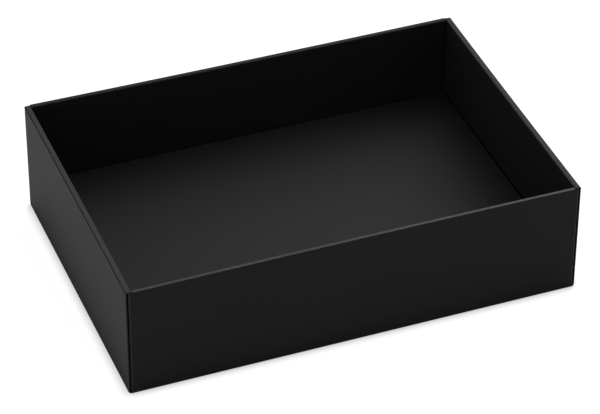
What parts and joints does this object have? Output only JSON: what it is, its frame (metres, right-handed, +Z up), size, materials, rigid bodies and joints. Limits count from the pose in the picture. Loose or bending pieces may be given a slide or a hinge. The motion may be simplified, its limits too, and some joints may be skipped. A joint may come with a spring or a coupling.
{
  "type": "gift box tray",
  "caption": "Open black gift box of folded board, with double walls that roll over a flat rim, and a raised floor that lifts out; it holds a gift.",
  "frame": {"origin": "middle of the footprint, on the plane the box stands on", "axes": "+X along the long side, to the right seen from the front; +Y from front to back; +Z up"},
  "size_m": [0.305, 0.211, 0.0795],
  "materials": {
    "outer_board": "matte black lined board",
    "rim_board": "matte black lined board, paler along its creases",
    "inner_board": "matte black lined board",
    "tab_board": "matte black lined board with dark cut edges",
    "floor_board": "matte black lined board with a fine mottle"
  },
  "bodies": {
    "tray": {"base_panel": "outer_board", "front_outer_panel": "outer_board", "back_outer_panel": "outer_board", "left_outer_panel": "outer_board", "right_outer_panel": "outer_board", "front_left_tab": "tab_board", "front_right_tab": "tab_board", "back_left_tab": "tab_board", "back_right_tab": "tab_board"},
    "front_rim": {"front_rim_strip": "rim_board"},
    "front_lining": {"front_inner_panel": "inner_board"},
    "back_rim": {"back_rim_strip": "rim_board"},
    "back_lining": {"back_inner_panel": "inner_board"},
    "left_rim": {"left_rim_strip": "rim_board"},
    "left_lining": {"left_inner_panel": "inner_board"},
    "right_rim": {"right_rim_strip": "rim_board"},
    "right_lining": {"right_inner_panel": "inner_board"},
    "raised_floor": {"floor_panel": "floor_board", "floor_front_skirt": "floor_board", "floor_back_skirt": "floor_board", "floor_left_skirt": "floor_board", "floor_right_skirt": "floor_board"}
  },
  "joints": [
    {"name": "front_rim_crease", "type": "hinge", "parent": "tray", "child": "front_rim", "pos_m": [0, -0.1055, 0.0795], "axis": [1, 0, 0], "range_deg": [0, 90]},
    {"name": "front_inner_crease", "type": "hinge", "parent": "front_rim", "child": "front_lining", "pos_m": [0, -0.1027, 0.0795], "axis": [1, 0, 0], "range_deg": [0, 90]},
    {"name": "back_rim_crease", "type": "hinge", "parent": "tray", "child": "back_rim", "pos_m": [0, 0.1055, 0.0795], "axis": [-1, 0, 0], "range_deg": [0, 90]},
    {"name": "back_inner_crease", "type": "hinge", "parent": "back_rim", "child": "back_lining", "pos_m": [0, 0.1027, 0.0795], "axis": [-1, 0, 0], "range_deg": [0, 90]},
    {"name": "left_rim_crease", "type": "hinge", "parent": "tray", "child": "left_rim", "pos_m": [-0.1525, 0, 0.0795], "axis": [0, -1, 0], "range_deg": [0, 90]},
    {"name": "left_inner_crease", "type": "hinge", "parent": "left_rim", "child": "left_lining", "pos_m": [-0.14855, 0, 0.0795], "axis": [0, -1, 0], "range_deg": [0, 90]},
    {"name": "right_rim_crease", "type": "hinge", "parent": "tray", "child": "right_rim", "pos_m": [0.1525, 0, 0.0795], "axis": [0, 1, 0], "range_deg": [0, 90]},
    {"name": "right_inner_crease", "type": "hinge", "parent": "right_rim", "child": "right_lining", "pos_m": [0.14855, 0, 0.0795], "axis": [0, 1, 0], "range_deg": [0, 90]},
    {"name": "floor_lift", "type": "slide", "parent": "tray", "child": "raised_floor", "axis": [0, 0, 1], "range_m": [0, 0.085]}
  ],
  "couplings": [
    {"joint": "front_rim_crease", "follows": "front_inner_crease", "ratio": 1},
    {"joint": "back_rim_crease", "follows": "back_inner_crease", "ratio": 1},
    {"joint": "left_rim_crease", "follows": "left_inner_crease", "ratio": 1},
    {"joint": "right_rim_crease", "follows": "right_inner_crease", "ratio": 1}
  ]
}
